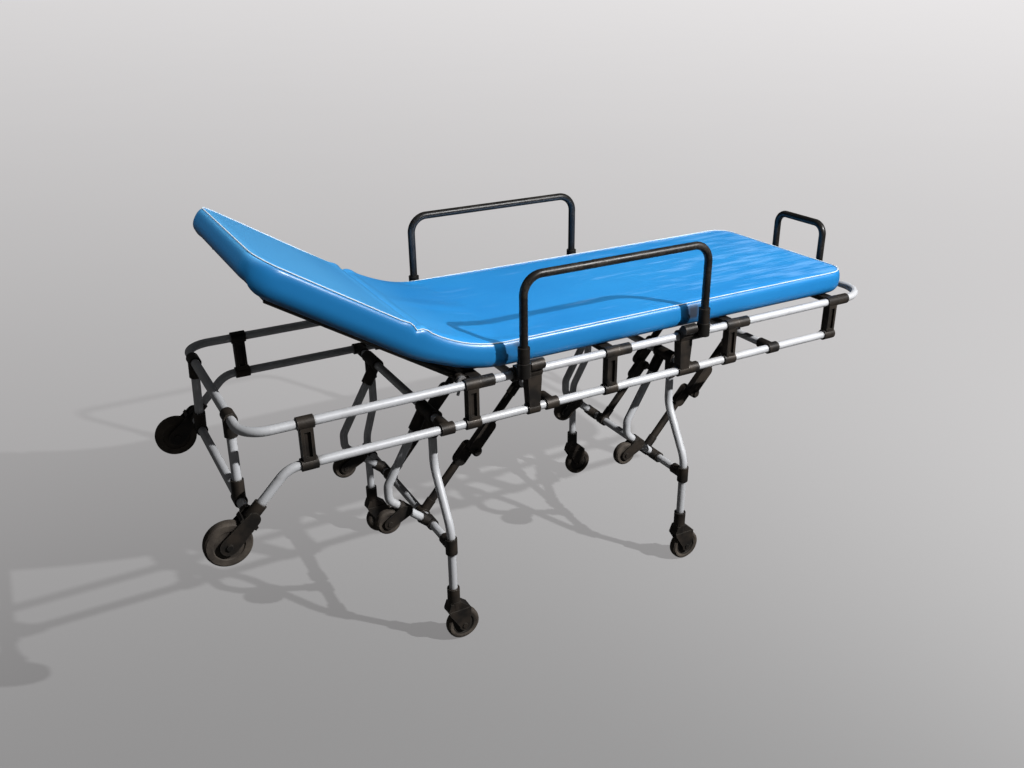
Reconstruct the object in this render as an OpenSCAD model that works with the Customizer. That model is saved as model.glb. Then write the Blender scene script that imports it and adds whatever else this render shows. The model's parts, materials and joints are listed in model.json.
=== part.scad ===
// Self-loading stretcher trolley: a two-rail tube frame on two folding leg frames,
// with load wheels at the head end, a raised backrest and one mattress.
// Millimetres. +X runs to the foot end, +Y to the patient's left, +Z up from the floor.
// Stations along the frame are measured from the backrest hinge, and placed() moves them
// so that the origin lies under the middle of the whole trolley.

/* [Frame] */
// Distance between the axes of the left and right rails
rail_gap = 600; // [560:5:700]
// Height of the lower rail axis above the floor
lower_rail_z = 624; // [600:1:700]
// Height of the upper rail axis above the lower rail axis
truss_h = 101; // [90:1:125]
// Backrest hinge to the head cross tube
head_len = 531; // [500:1:600]
// Backrest hinge to the foot bow
foot_len = 1341; // [1320:1:1600]
// Outer diameter of the frame tubes
tube_od = 22; // [20:0.5:24]
// Wall of the frame tubes
tube_wall = 2; // [1.5:0.5:3]
// Wall of a cast collar around a tube
collar_wall = 4.5; // [3.5:0.5:6]
// Corner radius of the upper rails at the head end
head_bend_r = 60; // [50:1:80]
// Corner radius of the foot bow
foot_bend_r = 95; // [60:1:110]
// Bend radius of the lower rails at the head end
rail_drop_r = 65; // [50:1:90]

/* [Struts] */
// Strut between the raised head part and the head end
head_strut_x = -393; // [-420:1:-380]
// Strut beside the backrest hinge
hinge_strut_x = 13; // [5:1:25]
// Strut between the side rail posts
middle_strut_x = 411; // [380:1:440]
// Strut past the rear side rail post
rear_strut_x = 809; // [780:1:850]
// Foot bow to the last strut
foot_strut_back = 152; // [140:1:180]
// Length of a strut along the rail
strut_w = 38; // [30:1:44]
// Thickness of a strut across the rail
strut_t = 24; // [18:1:26]
// Width of the groove down each face of a strut
groove_w = 15; // [8:1:18]
// Depth of that groove
groove_d = 6; // [2:0.5:8]
// Length of the plain sleeves on the upper rails
sleeve_len = 38; // [25:1:50]

/* [Head end] */
// Height of the lower head cross tube above the floor
drop_z = 527; // [515:1:540]
// Lower head cross tube, head-ward of the upper one
drop_x = 7; // [0:1:15]
// Distance between the upper tees
tee_gap = 376; // [340:2:400]
// Distance between the lower elbows
elbow_gap = 414; // [380:2:440]
// Load wheel radius
load_wheel_r = 54; // [45:1:55]
// Load wheel width
load_wheel_w = 27; // [20:1:32]
// Load wheel axle, head-ward of the lower cross tube
load_axle_dx = 54; // [52:1:70]
// Load wheel axle below the lower cross tube
load_axle_dz = 48; // [46:1:60]

/* [Leg frames] */
// Front leg pivot, from the backrest hinge
front_pivot_x = -56; // [-70:1:-50]
// Front leg pivot to rear leg pivot
leg_spacing = 737; // [725:1:760]
// Leg pivot to the brace pivot
brace_reach = 290; // [270:1:310]
// Distance between the legs at the top
leg_gap = 420; // [410:2:440]
// Distance between the legs and castors at the bottom
foot_gap = 592; // [560:2:640]
// Height of the upper kink in a leg
kink_top_z = 482; // [470:1:500]
// Height of the lower kink in a leg
kink_low_z = 338; // [330:1:350]
// Bend radius of the kinks
kink_r = 90; // [60:1:110]
// Height of the cross bar above the floor
crossbar_z = 290; // [280:1:300]
// Distance between the J tubes
j_gap = 334; // [330:2:350]
// Bend radius of the J tubes
j_bend_r = 32; // [26:1:40]
// Head-ward reach of the J tubes
j_reach = 111; // [95:1:120]
// Drop from the pivot to the first bend of the J tubes
j_drop = 193; // [180:1:205]
// Straight drop between the two bends of the J tubes
j_straight = 42; // [36:1:52]

/* [Braces] */
// Distance between the upper links of a pair of braces
brace_gap = 274; // [270:1:280]
// Diameter of the upper link's tube
upper_link_od = 22; // [16:1:24]
// Diameter of the lower link's tube
lower_link_od = 22; // [16:1:24]
// Knee pivot's distance from the line of the straight brace
knee_offset = 12; // [8:1:16]
// Radius of the knee castings
knee_r = 17; // [14:1:20]
// Side gap between the two knee castings
knee_gap = 0.5; // [0.3:0.1:1.5]

/* [Castors and auxiliary wheels] */
// Castor wheel radius
castor_r = 45; // [40:1:50]
// Castor wheel width
castor_w = 25; // [20:1:30]
// Castor trail
castor_trail = 22; // [15:1:26]
// Lower end of the legs above the floor
leg_end_z = 124; // [118:1:140]
// Auxiliary wheel radius
aux_r = 34; // [28:1:36]
// Auxiliary wheel width
aux_w = 22; // [16:1:24]
// Auxiliary axle, head-ward of the leg pivot
aux_dx = 117; // [114:1:124]
// Auxiliary axle below the leg pivot
aux_dz = 295; // [292:1:302]
// Diameter of the wheel axles
axle_od = 8; // [6:1:10]

/* [Side rails and foot handle] */
// First side rail post, from the backrest hinge
post_x = 140; // [130:1:150]
// Distance between the posts of a side rail
post_gap = 547; // [540:1:560]
// Outboard distance from the upper rail to the posts
post_out = 29; // [27:1:34]
// Height of the side rail above the upper rail
guard_h = 253; // [200:1:300]
// Diameter of the side rail and foot handle tubes
guard_od = 21; // [19:1:22]
// Corner radius of the side rails
guard_bend_r = 48; // [36:1:60]
// Distance from a post to the bracket beside it
post_offset = 40; // [38:1:44]
// Width of the foot handle
handle_gap = 194; // [160:2:240]
// Height of the foot handle above the foot bow
handle_h = 164; // [140:1:200]
// Corner radius of the foot handle
handle_bend_r = 34; // [26:1:44]

/* [Deck and mattress] */
// Angle of the backrest above the flat
back_angle = 32; // [20:1:45]
// Length of the backrest part of the mattress from the hinge
back_len = 592; // [570:1:600]
// Width of the mattress
mattress_w = 578; // [540:2:578]
// Thickness of the mattress
mattress_t = 70; // [50:1:90]
// Foot bow to the foot end of the mattress
mattress_back = 74; // [64:1:100]
// Corner radius of the mattress
mattress_corner = 70; // [50:1:90]
// Thickness of the deck and backrest panels
panel_t = 6; // [4:1:8]
// Half angle of the notch between the two parts of the mattress
notch_angle = 38.5; // [38:0.5:42]
// Depth of the backrest hinge below the deck
hinge_drop = 9; // [8:0.5:12]
// Outer diameter of the backrest frame's tubes
back_tube_od = 18; // [14:1:18]
// Radius of the hinge's friction discs
disc_r = 14; // [11:0.5:15]
// Distance between the mattress's edge and the boards' edge
panel_inset = 45; // [40:1:80]

/* [Clearances] */
// Radial gap of a fixed collar on its tube
fit_gap = 0.05; // [0.02:0.01:0.1]
// Radial running clearance of a turning part on its shaft
run_gap = 0.08; // [0.04:0.01:0.1]
// Side gap between parts that move past each other
side_gap = 0.8; // [0.5:0.1:2]

/* [Hidden] */
$fn = 48;

ALUMINIUM = "#c9cdd2";
CASTING = "#3d3a36";
BLACK = "#232322";
TYRE = "#5b5049";
VINYL = "#2a86d6";
PLY = "#6f5f4b";

half_gap = rail_gap / 2;
tube_r = tube_od / 2;
bore_r = tube_r - tube_wall;
collar_r = tube_r + collar_wall;
upper_rail_z = lower_rail_z + truss_h;
foot_strut_x = foot_len - foot_strut_back;
strut_xs = [head_strut_x, hinge_strut_x, middle_strut_x, rear_strut_x, foot_strut_x];
drop_station = -head_len - drop_x;
load_axle_x = drop_station - load_axle_dx;
load_axle_z = drop_z - load_axle_dz;
rear_pivot_x = front_pivot_x + leg_spacing;
pivot_xs = [front_pivot_x, rear_pivot_x];
cross_xs = [for (p = pivot_xs, d = [0, brace_reach]) p + d];
rear_post_x = post_x + post_gap;
bracket_xs = [post_x + post_offset, rear_post_x - post_offset];
post_y = half_gap + post_out;
deck_z = upper_rail_z + tube_r;
hinge_z = deck_z - hinge_drop;
shift_x = -(foot_len + collar_r + load_axle_x - load_wheel_r) / 2;
leg_y = leg_gap / 2;
foot_y = foot_gap / 2;
j_y = j_gap / 2;
upper_link_y = brace_gap / 2;
upper_link_r = upper_link_od / 2;
lower_link_r = lower_link_od / 2;
lower_link_y = upper_link_y - upper_link_r - lower_link_r - knee_gap;
axle_r = axle_od / 2;
guard_r = guard_od / 2;

// ---------- small helpers ----------

function unit(v) = v / norm(v);

// Moves a piece from hinge stations to the trolley's own frame
module placed() {
    translate([shift_x, 0, 0]) children();
}

// Repeats children on the left and, mirrored, on the right
module both_sides() {
    for (m = [0, 1]) mirror([0, m, 0]) children();
}

// Round bar from p to q
module bar(p, q, r) {
    d = q - p;
    translate(p)
        rotate([0, acos(d.z / norm(d)), atan2(d.y, d.x)])
            cylinder(h = norm(d), r = r);
}

// Tangent length of a bend from direction u into direction v
function tangent(u, v, bend_r) = bend_r * tan(acos(min(1, u * v)) / 2);

// Round elbow about corner p, from direction u into direction v
module elbow(p, u, v, bend_r, r) {
    turn = acos(u * v);
    centre = p + unit(v - u) * bend_r / cos(turn / 2);
    a = unit(p - u * tangent(u, v, bend_r) - centre);
    n = cross(a, u);
    multmatrix([[a.x, u.x, n.x, centre.x], [a.y, u.y, n.y, centre.y], [a.z, u.z, n.z, centre.z], [0, 0, 0, 1]])
        rotate_extrude(angle = turn)
            translate([bend_r, 0])
                circle(r);
}

// Round bar through a list of corner points, bent with one radius. The elbows are a hair
// thicker than the straight runs, which end just inside them
elbow_grow = 0.06;
elbow_lap = 1;
module bent_bar(points, bend_r, r) {
    last = len(points) - 2;
    dirs = [for (i = [0:last]) unit(points[i + 1] - points[i])];
    for (i = [0:last]) {
        before = i == 0 ? 0 : tangent(dirs[i - 1], dirs[i], bend_r) - elbow_lap;
        after = i == last ? 0 : tangent(dirs[i], dirs[i + 1], bend_r) - elbow_lap;
        bar(points[i] + dirs[i] * before, points[i + 1] - dirs[i] * after, r);
    }
    for (i = [1:1:last])
        elbow(points[i], dirs[i - 1], dirs[i], bend_r, r + elbow_grow);
}

// The same points with both ends run out by a little, for cutting
function run_out(points, by = 2) =
    let (n = len(points) - 1)
    [for (i = [0:n])
        i == 0 ? points[0] + unit(points[0] - points[1]) * by :
        i == n ? points[n] + unit(points[n] - points[n - 1]) * by : points[i]];

// Hollow tube through corner points
module bent_tube(points, bend_r, od = tube_od, wall = tube_wall) {
    difference() {
        bent_bar(points, bend_r, od / 2);
        bent_bar(run_out(points), bend_r, od / 2 - wall);
    }
}

// Solid cast collar along one axis, centred on p
module boss(p, axis, length, r) {
    bar(p - axis * length / 2, p + axis * length / 2, r);
}

X = [1, 0, 0];
Y = [0, 1, 0];
Z = [0, 0, 1];

// Slot-shaped cheek plate in the XZ plane from a to b, from y0 to y0 + t
module cheek(a, ra, b, rb, y0, t) {
    d = norm([b.x - a.x, b.y - a.y]);
    lean = atan2(b.y - a.y, b.x - a.x);
    slope = asin((ra - rb) / d);
    translate([0, y0 + t, 0]) rotate([90, 0, 0]) linear_extrude(t) union() {
        translate(a) circle(ra);
        translate(b) circle(rb);
        polygon([
            a + ra * [cos(lean + 90 - slope), sin(lean + 90 - slope)],
            b + rb * [cos(lean + 90 - slope), sin(lean + 90 - slope)],
            b + rb * [cos(lean - 90 + slope), sin(lean - 90 + slope)],
            a + ra * [cos(lean - 90 + slope), sin(lean - 90 + slope)]
        ]);
    }
}

// ---------- fixed frame ----------

// Side rails of the truss: from the head tee round the corner to the last strut
module upper_rails() {
    color(ALUMINIUM) placed() both_sides()
        bent_tube([[-head_len, tee_gap / 2 + 1, upper_rail_z], [-head_len, half_gap, upper_rail_z],
                   [foot_strut_x + strut_w / 2, half_gap, upper_rail_z]], head_bend_r);
}

// Bow that closes the foot end
module foot_bow() {
    start = foot_strut_x + strut_w / 2 + 1;
    color(ALUMINIUM) placed()
        bent_tube([[start, -half_gap, upper_rail_z], [foot_len, -half_gap, upper_rail_z],
                   [foot_len, half_gap, upper_rail_z], [start, half_gap, upper_rail_z]], foot_bend_r);
}

// Lower rails bend down at the head end to meet the load wheel forks
lower_bend_x = drop_station + (lower_rail_z - drop_z);
rail_drop_dir = unit([-1, 0, -1]);
module lower_rails() {
    stop = [drop_station, half_gap, drop_z] - rail_drop_dir * 16;
    color(ALUMINIUM) placed() both_sides()
        bent_tube([[foot_strut_x + strut_w / 2, half_gap, lower_rail_z], [lower_bend_x, half_gap, lower_rail_z], stop],
                  rail_drop_r);
}

// Upper and lower cross tubes and the two down tubes between them
tee_top = [-head_len, tee_gap / 2, upper_rail_z];
elbow_low = [drop_station, elbow_gap / 2, drop_z];
down_dir = unit(elbow_low - tee_top);
module head_frame_tubes() {
    color(ALUMINIUM) placed() {
        bent_tube([[-head_len, -tee_gap / 2, upper_rail_z], tee_top], 1);
        bent_tube([[drop_station, -half_gap + 14, drop_z], [drop_station, half_gap - 14, drop_z]], 1);
        both_sides() bent_tube([tee_top + down_dir * 18, elbow_low - down_dir * 17], 1);
    }
}

// Cast tees under the upper cross tube and elbows on the lower one
module head_tees() {
    color(CASTING) placed() both_sides() difference() {
        union() {
            boss(tee_top, Y, 40, collar_r);
            bar(tee_top, tee_top + down_dir * 46, collar_r - 0.5);
            boss(elbow_low, Y, 34, collar_r);
            bar(elbow_low, elbow_low - down_dir * 48, collar_r - 0.5);
        }
        boss(tee_top, Y, 60, tube_r + fit_gap);
        boss(elbow_low, Y, 60, tube_r + fit_gap);
        bar(tee_top + down_dir * 18, elbow_low - down_dir * 17, tube_r + fit_gap);
    }
}

// One cast strut: a collar on each rail and a grooved web between them
module strut(x) {
    mid_z = (lower_rail_z + upper_rail_z) / 2;
    difference() {
        union() {
            for (z = [lower_rail_z, upper_rail_z]) boss([x, half_gap, z], X, strut_w, collar_r);
            translate([x, half_gap, mid_z]) cube([strut_w - 9, strut_t, truss_h], center = true);
        }
        for (s = [-1, 1])
            translate([x, half_gap + s * strut_t / 2, mid_z])
                cube([groove_w, 2 * groove_d, truss_h - 2 * collar_r - 8], center = true);
        for (z = [lower_rail_z, upper_rail_z]) boss([x, half_gap, z], X, strut_w + 4, tube_r + fit_gap);
    }
}

module frame_struts() {
    color(CASTING) placed() both_sides() for (x = strut_xs) strut(x);
}

// Plain sleeves on the upper rails, on the foot side of four struts
module rail_sleeves() {
    color(CASTING) placed() both_sides()
        for (x = [hinge_strut_x, middle_strut_x, rear_strut_x, foot_strut_x])
            difference() {
                centre = [x + strut_w / 2 + 1 + sleeve_len / 2, half_gap, upper_rail_z];
                boss(centre, X, sleeve_len, collar_r - 0.5);
                boss(centre, X, sleeve_len + 4, tube_r + fit_gap);
            }
}

// Large cast brackets beside the side rail hinge blocks: each ends in the housing of a locking pin
bracket_w = 40;
housing_r = 14;
housing_out = 20;
housing_up = 23;
module side_rail_bracket(x) {
    top_w = bracket_w - 2;
    low_w = 27;
    difference() {
        union() {
            boss([x, half_gap, upper_rail_z], X, bracket_w, collar_r + 2);
            boss([x, half_gap, lower_rail_z], X, low_w + 5, collar_r);
            translate([x, half_gap + strut_t / 2 + 2, 0]) rotate([90, 0, 0]) linear_extrude(strut_t + 4)
                polygon([[-low_w / 2, lower_rail_z], [low_w / 2, lower_rail_z],
                         [top_w / 2, upper_rail_z - 26], [top_w / 2, upper_rail_z],
                         [-top_w / 2, upper_rail_z], [-top_w / 2, upper_rail_z - 26]]);
            boss([x, half_gap + housing_out, upper_rail_z + housing_up], X, bracket_w - 2, housing_r);
            translate([x - bracket_w / 2 + 3, half_gap, upper_rail_z])
                cube([bracket_w - 6, housing_out, housing_up]);
        }
        for (z = [lower_rail_z, upper_rail_z]) boss([x, half_gap, z], X, bracket_w + 4, tube_r + fit_gap);
    }
}

module side_rail_brackets() {
    color(CASTING) placed() both_sides() for (x = bracket_xs) side_rail_bracket(x);
}

// Cross tubes between the lower rails: leg pivots and brace pivots
module pivot_cross_tubes() {
    color(ALUMINIUM) placed() for (x = cross_xs)
        bent_tube([[x, -half_gap + tube_r + 3, lower_rail_z], [x, half_gap - tube_r - 3, lower_rail_z]], 1);
}

// Cast tees that hold the cross tubes on the lower rails
tee_len = 34;
tee_stub = 46;
module pivot_tees() {
    color(CASTING) placed() both_sides() for (x = cross_xs)
        difference() {
            union() {
                boss([x, half_gap, lower_rail_z], X, tee_len, collar_r);
                bar([x, half_gap, lower_rail_z], [x, half_gap - tee_stub, lower_rail_z], collar_r - 0.5);
            }
            boss([x, half_gap, lower_rail_z], X, tee_len + 4, tube_r + fit_gap);
            bar([x, half_gap - tube_r - 3, lower_rail_z], [x, half_gap - tee_stub - 2, lower_rail_z], tube_r + fit_gap);
        }
}

// Flat tubes across the upper rails that carry the deck, with the backrest hinge lugs on the first
bearer_h = 14;
bearer_w = 30;
bearer_xs = [32, middle_strut_x, rear_strut_x, foot_strut_x];
lug_y = 262;
lug_t = 8;
pin_r = 5;
module deck_bearers() {
    top = deck_z;
    inner = half_gap - collar_r - 0.05;
    color(CASTING) placed() {
        for (x = bearer_xs) difference() {
            translate([x - bearer_w / 2, -inner, top - bearer_h]) cube([bearer_w, 2 * inner, bearer_h]);
            translate([x - bearer_w / 2 + 2, -inner - 1, top - bearer_h + 2])
                cube([bearer_w - 4, 2 * inner + 2, bearer_h - 4]);
        }
        both_sides() difference() {
            union() {
                bar([0, lug_y, hinge_z], [0, lug_y + lug_t, hinge_z], disc_r);
                translate([0, lug_y, top - bearer_h]) cube([bearer_xs[0] - bearer_w / 2, lug_t, bearer_h - 1]);
            }
            bar([0, lug_y - 1, hinge_z], [0, lug_y + lug_t + 1, hinge_z], pin_r + run_gap);
        }
    }
}

// Deck panel under the flat part of the mattress
panel_half = mattress_w / 2 - panel_inset;
module deck_panel() {
    start = 15;
    color(PLY) placed()
        translate([start, -panel_half, deck_z])
            cube([foot_len - mattress_back - panel_inset - start, 2 * panel_half, panel_t]);
}

// Cast forks that carry the load wheels at the ends of the lower rails
module load_wheel_forks() {
    joint = [drop_station, half_gap, drop_z];
    axle = [load_axle_x, half_gap, load_axle_z];
    cheek_in = load_wheel_w / 2 + side_gap + 1;
    color(CASTING) placed() both_sides() difference() {
        union() {
            bar(joint - Y * 38, joint + Y * (cheek_in + 5), collar_r - 1.5);
            bar(joint, joint - rail_drop_dir * 40, collar_r);
            for (y = [-cheek_in - 5, cheek_in])
                cheek([joint.x + 3, joint.z + 3], 17, [axle.x, axle.z], 21, half_gap + y, 5);
            translate([joint.x - 6, half_gap, joint.z - 6]) rotate([0, 45, 0])
                cube([44, 2 * cheek_in + 8, 9], center = true);
            boss(axle, Y, 2 * cheek_in + 18, axle_r + 3);
        }
        bar(joint - rail_drop_dir * 16, joint - rail_drop_dir * 60, tube_r + fit_gap);
        bar(joint - Y * 60, joint - Y * 14, tube_r + fit_gap);
        boss(axle, Y, 2 * cheek_in, load_wheel_r + 1);
    }
    color(CASTING) placed() both_sides()
        boss(axle, Y, 2 * cheek_in + 10, axle_r);
}

// ---------- mattress and backrest ----------

// Places a piece drawn flat, with the hinge at the origin, at the backrest's angle
module on_backrest() {
    placed() translate([0, 0, hinge_z]) rotate([0, back_angle, 0]) children();
}

panel_low = deck_z - hinge_z;
mattress_low = panel_low + panel_t;

// Flat part of the mattress, with its head face cut back so that the backrest can rise
module mattress_seat() {
    end = foot_len - mattress_back;
    base = hinge_z + mattress_low + 0.5;
    depth = mattress_low + mattress_t;
    color(VINYL) placed() difference() {
        translate([0, 0, base]) linear_extrude(mattress_t) difference() {
            translate([0, -mattress_w / 2]) square([end, mattress_w]);
            for (s = [-1, 1]) translate([end - mattress_corner, s * (mattress_w / 2 - mattress_corner)])
                difference() {
                    translate([0, s > 0 ? 0 : -mattress_corner - 1]) square([mattress_corner + 1, mattress_corner + 1]);
                    circle(mattress_corner);
                }
        }
        translate([0, 0, hinge_z]) rotate([90, 0, 0]) linear_extrude(mattress_w + 2, center = true)
            polygon([[-5, -5], [6, 0], [6 + 2 * depth * tan(notch_angle), 2 * depth], [-5, 2 * depth]]);
    }
}

// Raised part of the mattress
module mattress_back() {
    depth = mattress_low + mattress_t;
    color(VINYL) on_backrest() difference() {
        translate([0, 0, mattress_low + 0.5]) linear_extrude(mattress_t) difference() {
            translate([-back_len, -mattress_w / 2]) square([back_len, mattress_w]);
            for (s = [-1, 1]) translate([-back_len + mattress_corner, s * (mattress_w / 2 - mattress_corner)])
                difference() {
                    translate([-mattress_corner - 1, s > 0 ? 0 : -mattress_corner - 1])
                        square([mattress_corner + 1, mattress_corner + 1]);
                    circle(mattress_corner);
                }
        }
        rotate([90, 0, 0]) linear_extrude(mattress_w + 2, center = true)
            polygon([[5, -5], [-6, 0], [-6 - 2 * depth * tan(notch_angle), 2 * depth], [5, 2 * depth]]);
    }
}

// Tube frame of the backrest: side tubes that end in the hinge's friction discs, and a tube across the head
back_tube_r = back_tube_od / 2;
back_side_y = lug_y - 22;
back_head = head_len - collar_r - 16;
module backrest_side_tubes() {
    color(CASTING) on_backrest() both_sides() difference() {
        union() {
            bar([-2, back_side_y, 0], [-back_head - back_tube_r, back_side_y, 0], back_tube_r);
            bar([0, back_side_y - 12, 0], [0, lug_y - side_gap, 0], back_tube_r - 1);
            bar([0, lug_y - side_gap - 6, 0], [0, lug_y - side_gap, 0], disc_r);
        }
        bar([0, 0, 0], [0, lug_y, 0], pin_r + fit_gap);
        bar([-30, back_side_y, 0], [-back_head - 20, back_side_y, 0], back_tube_r - tube_wall);
    }
}

module backrest_cross_tubes() {
    inner = back_side_y - back_tube_r - fit_gap;
    color(CASTING) on_backrest() {
        bent_tube([[-back_head, -inner, 0], [-back_head, inner, 0]], 1, 2 * back_tube_r);
    }
}

module backrest_panel() {
    color(PLY) on_backrest()
        translate([-back_head - back_tube_r, -panel_half, panel_low])
            cube([back_head + back_tube_r - 12, 2 * panel_half, panel_t]);
}

// Hinge pins through the lugs, fixed in the backrest frame; each ends in a disc with a clamp lever
lever_r = 4;
module backrest_hinge_pins() {
    face = lug_y + lug_t + side_gap;
    color(ALUMINIUM) placed() both_sides() {
        bar([0, back_side_y - 10, hinge_z], [0, face, hinge_z], pin_r);
        bar([0, face, hinge_z], [0, face + 2 * lever_r, hinge_z], disc_r - 2);
        bar([0, face + lever_r, hinge_z], [-12, face + lever_r, hinge_z - 36], lever_r - 0.4);
    }
}

// ---------- wheels ----------

// Plain moulded wheel about the Y axis, with a crowned tread and dished faces
module wheel(r, w, bore) {
    rotate([90, 0, 0]) rotate_extrude()
        polygon([[bore, -w / 2], [r * 0.32, -w / 2], [r * 0.36, -w / 2 + 2.5], [r * 0.62, -w / 2 + 2.5],
                 [r * 0.66, -w / 2], [r - 5, -w / 2], [r - 1.2, -w / 2 + 3.5], [r, -w / 2 + 8],
                 [r, w / 2 - 8], [r - 1.2, w / 2 - 3.5], [r - 5, w / 2], [r * 0.66, w / 2],
                 [r * 0.62, w / 2 - 2.5], [r * 0.36, w / 2 - 2.5], [r * 0.32, w / 2], [bore, w / 2]]);
}

module load_wheel(side) {
    color(TYRE) placed() translate([load_axle_x, side * half_gap, load_axle_z])
        wheel(load_wheel_r, load_wheel_w, axle_r + run_gap);
}

module load_wheel_left() { load_wheel(1); }
module load_wheel_right() { load_wheel(-1); }

// ---------- leg frames ----------

// Two leg tubes, kinked outward below the pivot
module leg_tubes(px) {
    color(ALUMINIUM) placed() both_sides()
        bent_tube([[px, leg_y, lower_rail_z - 19], [px, leg_y, kink_top_z], [px, foot_y, kink_low_z],
                   [px, foot_y, leg_end_z + 2]], kink_r);
}

// J tube route: down and head-ward from the hub, straight down, then back under to the cross bar
function j_route(px) =
    let (top = [px, j_y, lower_rail_z],
         knee = [px - j_reach, j_y, lower_rail_z - j_drop],
         heel = [px - j_reach, j_y, lower_rail_z - j_drop - j_straight],
         toe = [px, j_y, crossbar_z])
    [top + unit(knee - top) * 19, knee, heel, toe - unit(toe - heel) * 15];

module j_tubes(px) {
    color(ALUMINIUM) placed() both_sides() bent_tube(j_route(px), j_bend_r);
}

// Cross bar between the two legs
module crossbar(px) {
    color(ALUMINIUM) placed()
        bent_tube([[px, -foot_y + tube_r + 3, crossbar_z], [px, foot_y - tube_r - 3, crossbar_z]], 1);
}

// Hubs on the pivot tube, tees at the cross bar and sleeves at the castors
hub_r = collar_r + 1.5;
module leg_castings(px) {
    pivot_in = [px, j_y - 18, lower_rail_z];
    pivot_out = [px, leg_y + 20, lower_rail_z];
    route = j_route(px);
    j_dir = unit(route[1] - route[0]);
    toe_dir = unit(route[3] - route[2]);
    j_top = [px, j_y, lower_rail_z];
    toe = [px, j_y, crossbar_z];
    leg_top = [px, leg_y, lower_rail_z];
    leg_tee = [px, foot_y, crossbar_z];
    color(CASTING) placed() both_sides() difference() {
        union() {
            bar(pivot_in, pivot_out, hub_r);
            bar(leg_top, leg_top - Z * 58, collar_r);
            bar(j_top, j_top + j_dir * 62, collar_r);
            boss(leg_tee, Z, 44, collar_r);
            bar(leg_tee, leg_tee - Y * 42, collar_r - 0.5);
            boss(toe, Y, 36, collar_r);
            bar(toe, toe - toe_dir * 34, collar_r - 0.5);
            bar([px, foot_y, leg_end_z], [px, foot_y, leg_end_z + 38], collar_r + 1);
        }
        bar(pivot_in - Y * 5, pivot_out + Y * 5, tube_r + run_gap);
        bar(leg_top - Z * 19, leg_top - Z * 70, tube_r + fit_gap);
        bar(j_top + j_dir * 19, j_top + j_dir * 70, tube_r + fit_gap);
        boss(leg_tee, Z, 60, tube_r + fit_gap);
        bar(leg_tee - Y * (tube_r + 3), leg_tee - Y * 60, tube_r + fit_gap);
        boss(toe, Y, 60, tube_r + fit_gap);
        bar(toe - toe_dir * 15, toe - toe_dir * 50, tube_r + fit_gap);
        bar([px, foot_y, leg_end_z + 2], [px, foot_y, leg_end_z + 60], tube_r + fit_gap);
        bar([px, foot_y, leg_end_z - 1], [px, foot_y, leg_end_z + 10], bore_r + run_gap);
    }
}

// Forks of the auxiliary wheels, each on a sleeve around the lower run of a J tube
module aux_forks(px) {
    route = j_route(px);
    toe_dir = unit(route[3] - route[2]);
    sleeve = [px, j_y, crossbar_z] - toe_dir * 98;
    axle = [px - aux_dx, j_y, lower_rail_z - aux_dz];
    cheek_in = aux_w / 2 + side_gap + 0.7;
    color(CASTING) placed() both_sides() difference() {
        union() {
            boss(sleeve, toe_dir, 40, collar_r);
            for (y = [-cheek_in - 4, cheek_in])
                cheek([sleeve.x - 3, sleeve.z - 4], 18, [axle.x, axle.z], 15, j_y + y, 4);
            boss(axle, Y, 2 * cheek_in + 14, axle_r + 2);
        }
        boss(axle, Y, 2 * cheek_in, aux_r + 1);
        boss(sleeve, toe_dir, 50, tube_r + fit_gap);
    }
    color(CASTING) placed() both_sides()
        boss(axle, Y, 2 * cheek_in + 6, axle_r);
}

module aux_wheel(px, side) {
    color(TYRE) placed() translate([px - aux_dx, side * j_y, lower_rail_z - aux_dz])
        wheel(aux_r, aux_w, axle_r + run_gap);
}

module front_leg_tubes() { leg_tubes(front_pivot_x); }
module front_j_tubes() { j_tubes(front_pivot_x); }
module front_leg_castings() { leg_castings(front_pivot_x); }
module front_crossbar() { crossbar(front_pivot_x); }
module front_aux_forks() { aux_forks(front_pivot_x); }
module front_aux_wheel_left() { aux_wheel(front_pivot_x, 1); }
module front_aux_wheel_right() { aux_wheel(front_pivot_x, -1); }
module rear_leg_tubes() { leg_tubes(rear_pivot_x); }
module rear_j_tubes() { j_tubes(rear_pivot_x); }
module rear_leg_castings() { leg_castings(rear_pivot_x); }
module rear_crossbar() { crossbar(rear_pivot_x); }
module rear_aux_forks() { aux_forks(rear_pivot_x); }
module rear_aux_wheel_left() { aux_wheel(rear_pivot_x, 1); }
module rear_aux_wheel_right() { aux_wheel(rear_pivot_x, -1); }

// ---------- braces ----------

// Knee pivot: beside the middle of the straight brace, on its foot side
function brace_top(px) = [px + brace_reach, lower_rail_z];
function brace_foot(px) = [px, crossbar_z];
function knee(px) =
    let (line = unit(brace_foot(px) - brace_top(px)))
    (brace_top(px) + brace_foot(px)) / 2 + knee_offset * [-line.y, line.x];
function xz(p, y) = [p.x, y, p.y];

// One link: collar on its cross tube, tube along the brace line, and a flat knee casting
link_collar = 30;
module link(end, middle, pivot, y, tube_radius, slab_length, shaft_r) {
    dir = unit(end - middle);
    slab_t = 2 * tube_radius - 1;
    difference() {
        union() {
            boss(xz(end, y), Y, link_collar, shaft_r + 5.5);
            bar(xz(end, y), xz(end - dir * 44, y), tube_radius + 1.8);
            bar(xz(end - dir * 14, y), xz(middle + dir * 12, y), tube_radius);
            cheek(middle + dir * slab_length, knee_r, middle + dir * 6, knee_r, y - slab_t / 2, slab_t);
            boss(xz(pivot, y), Y, slab_t - 1, knee_r - 3);
        }
        boss(xz(end, y), Y, link_collar + 4, shaft_r + run_gap);
    }
}

module brace_upper(px) {
    middle = (brace_top(px) + brace_foot(px)) / 2;
    color(CASTING) placed() both_sides() {
        link(brace_top(px), middle, knee(px), upper_link_y, upper_link_r, 76, tube_r);
        boss(xz(knee(px), upper_link_y + upper_link_r + 2), Y, 6, 8);
    }
}

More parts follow.
